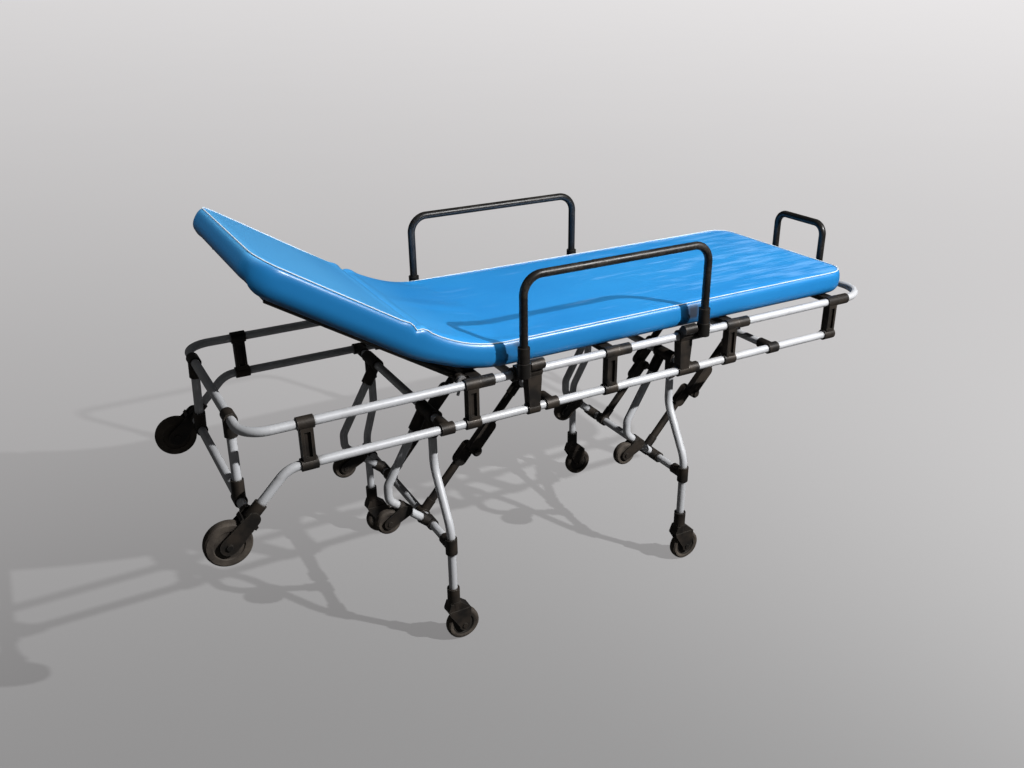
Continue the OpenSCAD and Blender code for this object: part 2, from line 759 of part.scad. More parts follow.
module brace_lower(px) {
    middle = (brace_top(px) + brace_foot(px)) / 2;
    color(CASTING) placed() both_sides() {
        link(brace_foot(px), middle, knee(px), lower_link_y, lower_link_r, 44, tube_r);
        boss(xz(knee(px), lower_link_y - lower_link_r - 2), Y, 6, 8);
    }
}

module front_brace_upper() { brace_upper(front_pivot_x); }
module front_brace_lower() { brace_lower(front_pivot_x); }
module rear_brace_upper() { brace_upper(rear_pivot_x); }
module rear_brace_lower() { brace_lower(rear_pivot_x); }

// ---------- castors ----------

castor_cheek_in = castor_w / 2 + side_gap + 0.7;
castor_cheek_t = 4;
hood_low = castor_r * 2 + 4;
hood_back = 21;
hood_front = 19;
module castor_fork(px, side) {
    stem = [px, side * foot_y, 0];
    axle = [px + castor_trail, side * foot_y, castor_r];
    hood_top = leg_end_z - side_gap;
    color(CASTING) placed() union() {
        difference() {
            union() {
                bar(stem + Z * (hood_top - 1), stem + Z * (hood_top + 48), bore_r - run_gap * 0.5);
                bar(stem + Z * hood_low, stem + Z * hood_top, collar_r + 1.5);
                for (y = [-castor_cheek_in - castor_cheek_t, castor_cheek_in])
                    translate([0, side * foot_y + y + castor_cheek_t, 0]) rotate([90, 0, 0])
                        linear_extrude(castor_cheek_t) union() {
                            polygon([[px - hood_back, hood_low + 3], [px - hood_back, hood_low - 3], [axle.x - 15, axle.z],
                                     [axle.x + 15, axle.z], [axle.x + hood_front, hood_low - 8],
                                     [axle.x + hood_front, hood_low + 3]]);
                            translate([axle.x, axle.z]) circle(15);
                        }
                translate([0, side * foot_y + castor_cheek_in + 2, 0]) rotate([90, 0, 0])
                    linear_extrude(2 * castor_cheek_in + 4)
                        polygon([[px - hood_back, hood_low - 1], [axle.x + hood_front, hood_low - 1],
                                 [axle.x + hood_front, hood_low + 3], [px + 14, hood_top - 4],
                                 [px - 14, hood_top - 4], [px - hood_back, hood_low + 8]]);
                boss(axle, Y, 2 * castor_cheek_in + 2 * castor_cheek_t + 6, axle_r + 2.5);
            }
            boss(axle, Y, 2 * castor_cheek_in, axle_r + 3);
        }
        boss(axle, Y, 2 * castor_cheek_in + castor_cheek_t, axle_r);
    }
}

tyre_inner = castor_r - 14;
module castor_tyre(px, side) {
    w = castor_w / 2;
    color(TYRE) placed() translate([px + castor_trail, side * foot_y, castor_r])
        rotate([90, 0, 0]) rotate_extrude()
            polygon([[tyre_inner + fit_gap, -w + 2], [tyre_inner + 5, -w], [castor_r - 5, -w],
                     [castor_r - 1.2, -w + 3.5], [castor_r, -w + 8], [castor_r, w - 8],
                     [castor_r - 1.2, w - 3.5], [castor_r - 5, w], [tyre_inner + 5, w], [tyre_inner + fit_gap, w - 2]]);
}

module castor_hub(px, side) {
    w = castor_w / 2;
    color(CASTING) placed() translate([px + castor_trail, side * foot_y, castor_r])
        rotate([90, 0, 0]) rotate_extrude()
            polygon([[axle_r + run_gap, -w], [11, -w], [12, -w + 4], [tyre_inner - 4, -w + 5], [tyre_inner - 3, -w + 2],
                     [tyre_inner, -w + 2], [tyre_inner, w - 2], [tyre_inner - 3, w - 2], [tyre_inner - 4, w - 5],
                     [12, w - 4], [11, w], [axle_r + run_gap, w]]);
}

module castor_fork_front_left() { castor_fork(front_pivot_x, 1); }
module castor_fork_front_right() { castor_fork(front_pivot_x, -1); }
module castor_fork_rear_left() { castor_fork(rear_pivot_x, 1); }
module castor_fork_rear_right() { castor_fork(rear_pivot_x, -1); }
module castor_tyre_front_left() { castor_tyre(front_pivot_x, 1); }
module castor_tyre_front_right() { castor_tyre(front_pivot_x, -1); }
module castor_tyre_rear_left() { castor_tyre(rear_pivot_x, 1); }
module castor_tyre_rear_right() { castor_tyre(rear_pivot_x, -1); }
module castor_hub_front_left() { castor_hub(front_pivot_x, 1); }
module castor_hub_front_right() { castor_hub(front_pivot_x, -1); }
module castor_hub_rear_left() { castor_hub(rear_pivot_x, 1); }
module castor_hub_rear_right() { castor_hub(rear_pivot_x, -1); }

// ---------- side rails and foot handle ----------

socket_low = 14;
socket_high = 78;
module side_rail(side) {
    foot_z = upper_rail_z + socket_low + 8;
    top_z = upper_rail_z + guard_h;
    color(BLACK) placed()
        bent_tube([[post_x, side * post_y, foot_z], [post_x, side * post_y, top_z],
                   [rear_post_x, side * post_y, top_z], [rear_post_x, side * post_y, foot_z]], guard_bend_r, guard_od);
}

// Hinge blocks: a barrel that turns on the upper rail and a socket for the post
block_w = 38;
module side_rail_hinges(side) {
    color(BLACK) placed() for (x = [post_x, rear_post_x]) difference() {
        rail = [x, side * half_gap, upper_rail_z];
        post = [x, side * post_y, upper_rail_z];
        union() {
            boss(rail, X, block_w, collar_r + 2);
            bar(post + Z * socket_low, post + Z * socket_high, guard_r + 4.5);
            bar(post + Z * (socket_low - 12), post + Z * (socket_low + 24), guard_r + 7);
            translate([x - 15, side > 0 ? half_gap : -post_y, upper_rail_z + 1]) cube([30, post_out, 24]);
        }
        boss(rail, X, block_w + 4, tube_r + run_gap);
        bar(post + Z * (socket_low + 8), post + Z * (socket_high + 2), guard_r + fit_gap);
    }
}

module side_rail_left() { side_rail(1); }
module side_rail_right() { side_rail(-1); }
module side_rail_hinges_left() { side_rail_hinges(1); }
module side_rail_hinges_right() { side_rail_hinges(-1); }

module foot_handle() {
    y = handle_gap / 2;
    low = upper_rail_z + collar_r + 1;
    top = upper_rail_z + handle_h;
    color(BLACK) placed()
        bent_tube([[foot_len, -y, low], [foot_len, -y, top], [foot_len, y, top], [foot_len, y, low]],
                  handle_bend_r, guard_od);
}

// Sleeves that turn on the foot bow and hold the handle's legs
module foot_handle_sleeves() {
    centre = [foot_len, handle_gap / 2, upper_rail_z];
    color(BLACK) placed() both_sides() difference() {
        union() {
            boss(centre, Y, 36, collar_r);
            bar(centre, centre + Z * 40, guard_r + 4);
        }
        boss(centre, Y, 44, tube_r + run_gap);
        bar(centre + Z * (collar_r + 1), centre + Z * 50, guard_r + fit_gap);
    }
}

upper_rails();
foot_bow();
lower_rails();
head_frame_tubes();
head_tees();
frame_struts();
rail_sleeves();
side_rail_brackets();
pivot_cross_tubes();
pivot_tees();
deck_bearers();
deck_panel();
load_wheel_forks();
mattress_seat();
backrest_side_tubes();
backrest_cross_tubes();
backrest_panel();
backrest_hinge_pins();
mattress_back();
load_wheel_left();
load_wheel_right();
front_leg_tubes();
front_j_tubes();
front_leg_castings();
front_crossbar();
front_aux_forks();
rear_leg_tubes();
rear_j_tubes();
rear_leg_castings();
rear_crossbar();
rear_aux_forks();
front_aux_wheel_left();
front_aux_wheel_right();
rear_aux_wheel_left();
rear_aux_wheel_right();
front_brace_upper();
front_brace_lower();
rear_brace_upper();
rear_brace_lower();
castor_fork_front_left();
castor_fork_front_right();
castor_fork_rear_left();
castor_fork_rear_right();
castor_tyre_front_left();
castor_tyre_front_right();
castor_tyre_rear_left();
castor_tyre_rear_right();
castor_hub_front_left();
castor_hub_front_right();
castor_hub_rear_left();
castor_hub_rear_right();
side_rail_left();
side_rail_right();
side_rail_hinges_left();
side_rail_hinges_right();
foot_handle();
foot_handle_sleeves();
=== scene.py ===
import json
import math

import bpy
import numpy as np
from mathutils import Matrix, Vector

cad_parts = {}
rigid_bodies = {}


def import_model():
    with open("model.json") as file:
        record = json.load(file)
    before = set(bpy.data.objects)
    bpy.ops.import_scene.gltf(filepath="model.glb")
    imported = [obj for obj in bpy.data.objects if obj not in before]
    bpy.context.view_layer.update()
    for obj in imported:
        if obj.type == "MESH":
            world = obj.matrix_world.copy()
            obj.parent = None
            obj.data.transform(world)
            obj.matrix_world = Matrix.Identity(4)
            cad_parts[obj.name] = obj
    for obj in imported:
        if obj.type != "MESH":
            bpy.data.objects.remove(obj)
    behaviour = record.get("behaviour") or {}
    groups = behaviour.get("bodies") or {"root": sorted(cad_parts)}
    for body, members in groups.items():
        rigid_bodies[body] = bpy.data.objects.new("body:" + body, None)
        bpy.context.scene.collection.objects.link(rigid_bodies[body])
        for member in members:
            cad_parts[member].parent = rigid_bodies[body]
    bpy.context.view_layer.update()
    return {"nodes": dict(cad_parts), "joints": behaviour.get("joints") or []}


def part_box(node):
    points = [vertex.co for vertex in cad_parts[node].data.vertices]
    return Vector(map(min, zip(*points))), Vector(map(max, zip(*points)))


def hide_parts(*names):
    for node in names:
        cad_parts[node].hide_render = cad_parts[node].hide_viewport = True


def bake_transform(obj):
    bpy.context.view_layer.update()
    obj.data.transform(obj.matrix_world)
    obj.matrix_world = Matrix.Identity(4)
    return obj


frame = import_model()
nodes = frame["nodes"]
joint_at = {j["name"]: Vector(j.get("pos_m", (0, 0, 0))) for j in frame["joints"]}

# ---------------------------------------------------------------- frame tubes
# The rails, the bow, the head frame and the legs are bent aluminium tube with a silver lacquer.
# The tubes are glued and pinned into castings; dirt and rust-brown grease gather where they go in, and
# painted shade darkens the tubes where they run close beside other pieces.

TUBE_SILVER = (0.86, 0.87, 0.90, 1)
TUBE_DULL = (0.50, 0.48, 0.47, 1)
TUBE_GREASE_AND_SHADE = (0.045, 0.032, 0.022, 1)


class Wire:
    """A node's output that takes part in plain arithmetic: a sum or product adds a Math node."""

    def __init__(self, finish, socket):
        self.finish, self.socket = finish, socket

    def math(self, operation, first, second):
        return self.finish.node("Math", {"operation": operation}, {0: first, 1: second})

    def __add__(self, other):
        return self.math("ADD", self, other)

    def __sub__(self, other):
        return self.math("SUBTRACT", self, other)

    def __rsub__(self, other):
        return self.math("SUBTRACT", other, self)

    def __mul__(self, other):
        return self.math("MULTIPLY", self, other)

    def __truediv__(self, other):
        return self.math("DIVIDE", self, other)

    def __pow__(self, other):
        return self.math("POWER", self, other)

    __radd__, __rmul__ = __add__, __mul__

    def least(self, other):
        return self.math("MINIMUM", self, other)

    def most(self, other):
        return self.math("MAXIMUM", self, other)


class Finish:
    """A finish being made: a material whose nodes are added one at a time."""

    def __init__(self, owner):
        self.owner = owner
        owner.use_nodes = True
        self.tree = owner.node_tree
        self.tree.nodes.clear()

    def node(self, kind, settings=None, sockets=None, out=0):
        made = self.tree.nodes.new("ShaderNode" + kind)
        for name, value in (settings or {}).items():
            if name == "stops":
                ramp = made.color_ramp
                first, *middle, last = value
                ramp.elements[0].position, ramp.elements[-1].position = first[0], last[0]
                ramp.elements[0].color, ramp.elements[-1].color = [(s[1],) * 3 + (1,) for s in (first, last)]
                for at, shade in middle:
                    ramp.elements.new(at).color = (shade,) * 3 + (1,)
            else:
                setattr(made, name, value)
        for name, value in (sockets or {}).items():
            if isinstance(value, Wire):
                self.tree.links.new(value.socket, made.inputs[name])
            else:
                made.inputs[name].default_value = value
        return Wire(self, made.outputs[out]) if made.outputs else None

    def place(self):
        return self.node("TexCoord", out="Object")

    def axes(self, at):
        split = self.node("SeparateXYZ", sockets={0: at})
        return [Wire(self, split.socket.node.outputs[i]) for i in range(3)]

    def noise(self, at, scale, detail=4.0, stretch=None):
        if stretch:
            at = self.node("Mapping", sockets={"Vector": at, "Scale": stretch})
        return self.node("TexNoise", sockets={"Vector": at, "Scale": scale, "Detail": detail})

    def ramp(self, value, *stops):
        return self.node("ValToRGB", {"stops": stops}, {0: value})

    def mix(self, share, below, above):
        return self.node("Mix", {"data_type": "RGBA"}, {0: share, 6: below, 7: above}, out=2)

    def nook(self, reach):
        """1 in the open, towards 0 in a corner or close beside another piece."""
        return self.node("AmbientOcclusion", {"samples": 5}, {"Distance": reach}, out="AO")

    def rim(self, reach):
        """0 on a face, towards 1 on a sharp outer edge."""
        soft = self.node("Bevel", {"samples": 4}, {"Radius": reach})
        flat = self.node("NewGeometry", out="Normal")
        same = self.node("VectorMath", {"operation": "DOT_PRODUCT"}, {0: soft, 1: flat}, out="Value")
        return self.ramp(1 - same, (0.01, 0.0), (0.12, 1.0))

    def close(self, **sockets):
        """Ends the finish in one surface shader, whose sockets are named with _ for a space."""
        bump = sockets.pop("height", None)
        depth = sockets.pop("depth", 0.001)
        words = {name.replace("_", " "): value for name, value in sockets.items()}
        if bump is not None:
            words["Normal"] = self.node("Bump", sockets={"Height": bump, "Distance": depth})
        shade = self.node("BsdfPrincipled", sockets=words)
        self.node("OutputMaterial", sockets={"Surface": shade})
        return self.owner


def silver_tube():
    f = Finish(bpy.data.materials.new("silver_tube"))
    at = f.place()
    cloud = f.noise(at, 9.0, 5.0)
    speck = f.noise(at, 140.0, 3.0)
    # Dark near other pieces: partly grease, partly painted shade taken from how close the tube runs to them.
    grease_and_nook_shade = f.ramp(f.nook(0.045) + (cloud - 0.5) * 0.9, (0.45, 1.0), (0.9, 0.0))
    worn = f.ramp(cloud * 0.75 + speck * 0.25, (0.5, 0.0), (0.66, 1.0))
    colour = f.mix(worn * 0.4, TUBE_SILVER, TUBE_DULL)
    colour = f.mix(grease_and_nook_shade * 0.85, colour, TUBE_GREASE_AND_SHADE)
    return f.close(Base_Color=colour, Metallic=0.12 - grease_and_nook_shade * 0.1, Roughness=0.40 + worn * 0.1 + grease_and_nook_shade * 0.2,
                   height=speck, depth=0.0002)


def paint(material, *names):
    """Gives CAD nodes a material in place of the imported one."""
    for name in names:
        for place in nodes[name].material_slots:
            place.material = material


LEGS = ("front", "rear")
SIDES = ("left", "right")
paint(silver_tube(), "upper_rails", "foot_bow", "lower_rails", "head_frame_tubes", "pivot_cross_tubes",
      "backrest_hinge_pins",
      *(f"{leg}_{part}" for leg in LEGS for part in ("leg_tubes", "j_tubes", "crossbar")))

# ---------------------------------------------------------------- castings
# Struts, tees, brackets, forks, brace links and leg castings are sand-cast aluminium, painted dark
# and rubbed bare on their edges. They hold the tubes together.

CAST_DARK = (0.028, 0.025, 0.023, 1)
CAST_WARM = (0.068, 0.054, 0.043, 1)
CAST_BARE = (0.27, 0.25, 0.225, 1)


def dark_casting(name="dark_casting", dark=CAST_DARK, warm=CAST_WARM, bare=CAST_BARE, shine=0.42):
    f = Finish(bpy.data.materials.new(name))
    at = f.place()
    cloud = f.noise(at, 22.0, 5.0)
    grit = f.noise(at, 420.0, 3.0)
    rubbed = f.rim(0.0022) * f.ramp(cloud, (0.35, 0.15), (0.6, 1.0))
    colour = f.mix(f.ramp(cloud, (0.4, 0.0), (0.62, 1.0)), dark, warm)
    # Painted shade: the casting goes near-black where it lies close beside other pieces.
    colour = f.mix(f.nook(0.02) * 0.6 + 0.4, (0.012, 0.010, 0.009, 1), colour)
    colour = f.mix(rubbed * 0.75, colour, bare)
    return f.close(Base_Color=colour, Metallic=0.35 + rubbed * 0.4,
                   Roughness=shine + 0.12 * cloud - rubbed * 0.1,
                   height=grit * 0.6 + cloud * 0.4, depth=0.0006)


paint(dark_casting(), "head_tees", "frame_struts", "rail_sleeves", "side_rail_brackets", "pivot_tees",
      "deck_bearers", "load_wheel_forks", "backrest_side_tubes", "backrest_cross_tubes",
      *(f"{leg}_{part}" for leg in LEGS
        for part in ("leg_castings", "aux_forks", "brace_upper", "brace_lower")),
      *(f"castor_fork_{leg}_{side}" for leg in LEGS for side in SIDES))

# ---------------------------------------------------------------- boards
# The deck and the backrest carry the mattress on sealed plywood, screwed to the bearers.

PLY_PALE = (0.060, 0.042, 0.028, 1)
PLY_DARK = (0.022, 0.016, 0.011, 1)


def sealed_ply():
    f = Finish(bpy.data.materials.new("sealed_ply"))
    at = f.place()
    grain = f.noise(at, 12.0, 6.0, (1.0, 9.0, 1.0))
    height = f.axes(at)[2]
    plies = f.node("Math", {"operation": "SINE"}, {0: height * 2600.0})
    colour = f.mix(f.ramp(grain, (0.35, 0.0), (0.65, 1.0)), PLY_DARK, PLY_PALE)
    return f.close(Base_Color=colour, Roughness=0.35 + grain * 0.25,
                   height=grain + plies * 0.2, depth=0.0004)


paint(sealed_ply(), "deck_panel", "backrest_panel")

# ---------------------------------------------------------------- black tube
# The side rails and the foot handle are steel tube in satin black enamel, each bent from one length
# and held in cast sockets. The enamel is scuffed in patches at random.

ENAMEL = (0.020, 0.018, 0.016, 1)
SCUFF = (0.115, 0.098, 0.082, 1)


def black_enamel():
    f = Finish(bpy.data.materials.new("black_enamel"))
    at = f.place()
    cloud = f.noise(at, 16.0, 5.0)
    speck = f.noise(at, 210.0, 4.0)
    scuffed = f.ramp(cloud * 0.6 + speck * 0.4, (0.5, 0.0), (0.68, 1.0))
    colour = f.mix(scuffed * 0.55, ENAMEL, SCUFF)
    return f.close(Base_Color=colour, Metallic=0.15, Roughness=0.3 + cloud * 0.14 + scuffed * 0.12,
                   height=speck, depth=0.0002)


paint(black_enamel(), "side_rail_left", "side_rail_right", "foot_handle")
paint(dark_casting("hinge_casting", (0.022, 0.020, 0.018, 1), (0.040, 0.033, 0.027, 1)),
      "side_rail_hinges_left", "side_rail_hinges_right", "foot_handle_sleeves")

# ---------------------------------------------------------------- wheels
# Castor, load and auxiliary wheels have grey-brown rubber tyres, dusty on the tread, on dark moulded
# hubs. They turn on steel axles with bolt heads outside the forks.

RUBBER = (0.055, 0.044, 0.036, 1)
RUBBER_DUST = (0.14, 0.115, 0.092, 1)
HUB_DARK = (0.020, 0.018, 0.016, 1)


def tyre_rubber():
    f = Finish(bpy.data.materials.new("tyre_rubber"))
    at = f.place()
    cloud = f.noise(at, 30.0, 5.0)
    grit = f.noise(at, 520.0, 3.0)
    dusty = f.ramp(cloud * 0.7 + grit * 0.3, (0.4, 0.0), (0.62, 1.0))
    colour = f.mix(dusty, RUBBER, RUBBER_DUST)
    # Painted shade: the tyre goes near-black where it lies close beside the hub and fork.
    colour = f.mix(f.nook(0.015) * 0.7 + 0.3, (0.012, 0.010, 0.009, 1), colour)
    return f.close(Base_Color=colour, Roughness=0.72 + dusty * 0.12,
                   height=grit * 0.7 + cloud * 0.3, depth=0.0008)


def hub_plastic():
    f = Finish(bpy.data.materials.new("hub_plastic"))
    at = f.place()
    cloud = f.noise(at, 60.0, 4.0)
    colour = f.mix(cloud, HUB_DARK, (0.045, 0.038, 0.032, 1))
    return f.close(Base_Color=colour, Roughness=0.5 + cloud * 0.2, height=cloud, depth=0.0003)


paint(tyre_rubber(), "load_wheel_left", "load_wheel_right",
      *(f"{leg}_aux_wheel_{side}" for leg in LEGS for side in SIDES),
      *(f"castor_tyre_{leg}_{side}" for leg in LEGS for side in SIDES))
paint(hub_plastic(), *(f"castor_hub_{leg}_{side}" for leg in LEGS for side in SIDES))

# ---------------------------------------------------------------- mattress
# One foam mattress in welded blue vinyl, bent where the backrest rises. A thin pale cord of piping
# is sewn round its top edge. It lies on the boards and is held by hook tape.

HINGE = joint_at["backrest_tilt"]
SEAT_LOW, SEAT_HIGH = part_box("mattress_seat")
BACK_ANGLE = math.radians(32.0)
BACK_LEN = 0.592
MAT_LOW = SEAT_LOW.z + 0.0005
MAT_THICK = SEAT_HIGH.z - SEAT_LOW.z - 0.001
MAT_HALF = SEAT_HIGH.y - 0.003
CORNER_R = 0.070
EDGE_R = 0.027
BEND_R = 0.35
BOARD_HALF = 0.250
LIP_DROP = 0.0065
BACK_LIP = 0.0175
CREASE_AT = Vector((-0.455, 0, 0.885))
CREASE_DEPTH = 0.0105


def square_lattice(length, half, thick, step):
    """The surface of a slab as a lattice, and the points of its top edge in order."""
    cells = [max(2, round(size / step)) for size in (length, 2 * half, thick)]
    index, points, faces = {}, [], []

    def point(i, j, k):
        if (i, j, k) not in index:
            index[i, j, k] = len(points)
            points.append((i / cells[0] * length, (2 * j / cells[1] - 1) * half, k / cells[2] * thick))
        return index[i, j, k]

    for axis in range(3):
        u, v = [a for a in range(3) if a != axis]
        for end in (0, cells[axis]):
            for a in range(cells[u]):
                for b in range(cells[v]):
                    quad = []
                    for da, db in ((0, 0), (1, 0), (1, 1), (0, 1)):
                        at = [0, 0, 0]
                        at[axis], at[u], at[v] = end, a + da, b + db
                        quad.append(point(*at))
                    outward = (end > 0) != (axis == 1)
                    faces.append(quad if outward else quad[::-1])
    nx, ny, nz = cells
    ring = [(i, 0) for i in range(nx)] + [(nx, j) for j in range(ny)]
    ring += [(nx - i, ny) for i in range(nx)] + [(0, ny - j) for j in range(ny)]
    return np.array(points), faces, [index[i, j, nz] for i, j in ring]


def round_slab(points, length, half, thick):
    """Rounds the plan's corners, then the edges all round, by turning each square corner into an arc."""
    out = points.copy()
    mid = length / 2
    x, y = out[:, 0] - mid, out[:, 1]
    dx, dy = np.abs(x) - (mid - CORNER_R), np.abs(y) - (half - CORNER_R)
    corner = (dx > 0) & (dy > 0)
    share = np.where(corner, np.maximum(dx, dy) / np.maximum(np.hypot(dx, dy), 1e-9), 1)
    x = np.where(corner, np.sign(x) * (mid - CORNER_R + dx * share), x)
    y = np.where(corner, np.sign(y) * (half - CORNER_R + dy * share), y)
    dx, dy = np.abs(x) - (mid - CORNER_R), np.abs(y) - (half - CORNER_R)
    both = (dx > 0) & (dy > 0)
    reach = np.hypot(dx, dy)
    inset = np.where(both, CORNER_R - reach, np.minimum(mid - np.abs(x), half - np.abs(y)))
    nx = np.where(both, dx / np.maximum(reach, 1e-9), (dx >= dy) * 1.0) * np.sign(x)
    ny = np.where(both, dy / np.maximum(reach, 1e-9), (dx < dy) * 1.0) * np.sign(y)
    z = out[:, 2] - thick / 2
    u, v = EDGE_R - inset, np.abs(z) - (thick / 2 - EDGE_R)
    edge = (u > 0) & (v > 0)
    share = np.where(edge, np.maximum(u, v) / np.maximum(np.hypot(u, v), 1e-9), 1)
    pull = np.where(edge, u - u * share, 0)
    x, y = x - nx * pull, y - ny * pull
    z = np.where(edge, np.sign(z) * (thick / 2 - EDGE_R + v * share), z)
    return np.stack([x + mid, y, z + thick / 2], 1)


def bend(points, seat_len):
    """Bends the flat slab, measured from its foot end along x, up over the backrest hinge."""
    lift = MAT_LOW - HINGE.z
    low_r = BEND_R + MAT_THICK
    tangent = low_r * math.tan(BACK_ANGLE / 2)
    s = points[:, 0] - seat_len
    arc = low_r * BACK_ANGLE
    h = points[:, 2]
    start = -tangent
    turn = np.clip((s - start) / arc, 0, 1) * BACK_ANGLE
    flat_x = np.where(s < start, s, start)
    x = flat_x + np.sin(turn) * (low_r - h)
    z = np.where(s < start, h, low_r - np.cos(turn) * (low_r - h))
    past = np.maximum(s - start - arc, 0)
    x, z = x + past * np.cos(BACK_ANGLE), z + past * np.sin(BACK_ANGLE)
    return np.stack([HINGE.x + lift * math.tan(BACK_ANGLE / 2) - x, points[:, 1], MAT_LOW + z], 1)


def make_mattress():
    seat_len = SEAT_HIGH.x - HINGE.x
    low_r = BEND_R + MAT_THICK
    spare = 2 * low_r * math.tan(BACK_ANGLE / 2) - low_r * BACK_ANGLE
    total = seat_len + BACK_LEN - spare - 0.012
    points, faces, seam = square_lattice(total, MAT_HALF, MAT_THICK, 0.0125)
    flat = round_slab(points, total, MAT_HALF, MAT_THICK)
    beside = np.clip((np.abs(flat[:, 1]) - BOARD_HALF) / 0.012, 0, 1)
    lip = LIP_DROP + (BACK_LIP - LIP_DROP) * np.clip((flat[:, 0] - seat_len - 0.06) / 0.08, 0, 1)
    flat[:, 2] -= lip * beside * (1 - flat[:, 2] / MAT_THICK) ** 2
    bent = bend(flat, seat_len)
    mesh = bpy.data.meshes.new("mattress")
    mesh.from_pydata([tuple(p) for p in bent], [], faces)
    mesh.validate()
    piece = bpy.data.objects.new("mattress", mesh)
    bpy.context.scene.collection.objects.link(piece)
    under = np.nonzero(flat[:, 2] < MAT_THICK * 0.35)[0]
    return piece, flat, bent, seam, under


def plump(piece, before, held, half_held, cap):
    """Blows the cover up like the foam inside it, with the underside held on the boards."""
    hold = piece.vertex_groups.new(name="held")
    hold.add([int(i) for i in held], 1.0, "REPLACE")
    hold.add([int(i) for i in half_held], 0.92, "REPLACE")
    cloth = piece.modifiers.new("cover", "CLOTH")
    s = cloth.settings
    s.quality, s.mass = 6, 0.25
    s.tension_stiffness, s.compression_stiffness, s.shear_stiffness, s.bending_stiffness = 14, 14, 8, 6.0
    s.use_pressure, s.uniform_pressure_force = True, 5.0
    s.vertex_group_mass = "held"
    s.effector_weights.gravity = 0.0
    cloth.point_cache.frame_start, cloth.point_cache.frame_end = 1, 20
    for number in range(1, 21):
        bpy.context.scene.frame_set(number)
    ready = piece.evaluated_get(bpy.context.evaluated_depsgraph_get()).to_mesh()
    after = np.empty(len(before) * 3)
    ready.vertices.foreach_get("co", after)
    piece.to_mesh_clear()
    piece.modifiers.remove(cloth)
    bpy.context.scene.frame_set(1)
    moved = after.reshape(-1, 3) - before
    far = np.linalg.norm(moved, axis=1)
    moved *= (np.minimum(far, cap) / np.maximum(far, 1e-9))[:, None]
    return before + moved


def crease(points):
    """Presses in the fold across the head part that comes from raising and lowering it."""
    up = np.array([math.sin(BACK_ANGLE), 0, math.cos(BACK_ANGLE)])
    wander = 0.005 * np.sin(points[:, 1] * 8.0) + 0.002 * np.sin(points[:, 1] * 31.0)
    along = ((CREASE_AT.x - points[:, 0]) * math.cos(BACK_ANGLE)
             + (points[:, 2] - CREASE_AT.z) * math.sin(BACK_ANGLE) + wander)
    fold = np.exp(-(along / 0.0075) ** 2) - 0.3 * np.exp(-((np.abs(along) - 0.024) / 0.012) ** 2)
    above_board = (points - np.array(HINGE)) @ up - (MAT_LOW - HINGE.z)
    depth = CREASE_DEPTH * fold * np.clip(above_board / MAT_THICK * 2 - 1, 0, 1)
    return points - depth[:, None] * up


mattress, flat, bent, seam, under = make_mattress()
bent = plump(mattress, bent, under, seam, 0.007)
mattress.data.vertices.foreach_set("co", bent.ravel())
for face in mattress.data.polygons:
    face.use_smooth = True
seam_line = crease(bent[seam])
subdivide = mattress.modifiers.new("smooth", "SUBSURF")
subdivide.levels = subdivide.render_levels = 1
with bpy.context.temp_override(object=mattress, active_object=mattress):
    bpy.ops.object.modifier_apply(modifier="smooth")
fine = np.empty(len(mattress.data.vertices) * 3)
mattress.data.vertices.foreach_get("co", fine)
mattress.data.vertices.foreach_set("co", crease(fine.reshape(-1, 3)).ravel())

VINYL_BLUE = (0.022, 0.275, 0.66, 1)
VINYL_DEEP = (0.016, 0.235, 0.60, 1)
VINYL_PAINTED_SHEEN = (0.085, 0.40, 0.78, 1)
VINYL_PAINTED_SIDE_SHADE = (0.010, 0.170, 0.43, 1)
VINYL_CHALK_AND_SHEEN = (0.20, 0.47, 0.86, 1)
GRIME = (0.035, 0.030, 0.028, 1)
POST_XS = (-0.2153, 0.3318)


def blue_vinyl():
    f = Finish(bpy.data.materials.new("blue_vinyl"))
    at = f.place()
    x, y, z = f.axes(at)
    cloud = f.noise(at, 3.2, 5.0)
    streak = f.noise(at, 26.0, 7.0, (0.30, 2.4, 0.5))
    blot = f.noise(at, 20.0, 6.0)
    leather = f.noise(at, 900.0, 2.0)
    foot = f.ramp(x, (0.0, 0.0), (0.85, 1.0))
    lying = f.ramp(f.axes(f.node("NewGeometry", out="Normal"))[2], (0.5, 0.0), (0.9, 1.0))
    # Chalky wear streaks on the top, with a painted sheen that grows towards the foot.
    chalk_and_sheen = f.ramp(streak + (foot - 0.62) * 0.2, (0.5, 0.0), (0.70, 1.0)) * lying
    colour = f.mix(f.ramp(cloud, (0.35, 0.0), (0.65, 1.0)), VINYL_DEEP, VINYL_BLUE)
    # Painted reflection: the top of the raised head part is made paler, a painted sheen.
    colour = f.mix(f.ramp(x + 1.0, (0.38, 1.0), (0.67, 0.0)) * lying, colour, VINYL_PAINTED_SHEEN)
    # Painted shade: the sides are made darker towards the head end.
    colour = f.mix((1 - lying) * f.ramp(x + 1.0, (0.5, 0.75), (0.8, 0.0)), colour, VINYL_PAINTED_SIDE_SHADE)
    colour = f.mix(chalk_and_sheen * 0.45, colour, VINYL_CHALK_AND_SHEEN)
    beside = (1 - lying) * f.ramp(z, (0.745, 0.0), (0.765, 1.0)) * f.ramp(z, (0.79, 1.0), (0.812, 0.0))
    rubbed = 0.0
    for post in POST_XS:
        away = f.node("Math", {"operation": "ABSOLUTE"}, {0: x - post})
        rubbed = rubbed + f.ramp(away, (0.010, 1.0), (0.040, 0.0))
    stain = beside * rubbed * f.ramp(blot, (0.34, 0.2), (0.58, 1.0))
    colour = f.mix(stain * 0.93, colour, GRIME)
    return f.close(Base_Color=colour, Roughness=0.36 + chalk_and_sheen * 0.14 + stain * 0.2, Coat_Weight=0.4,
                   Coat_Roughness=0.26, height=leather * 0.3 + streak * 0.7, depth=0.0007)


mattress.data.materials.append(blue_vinyl())


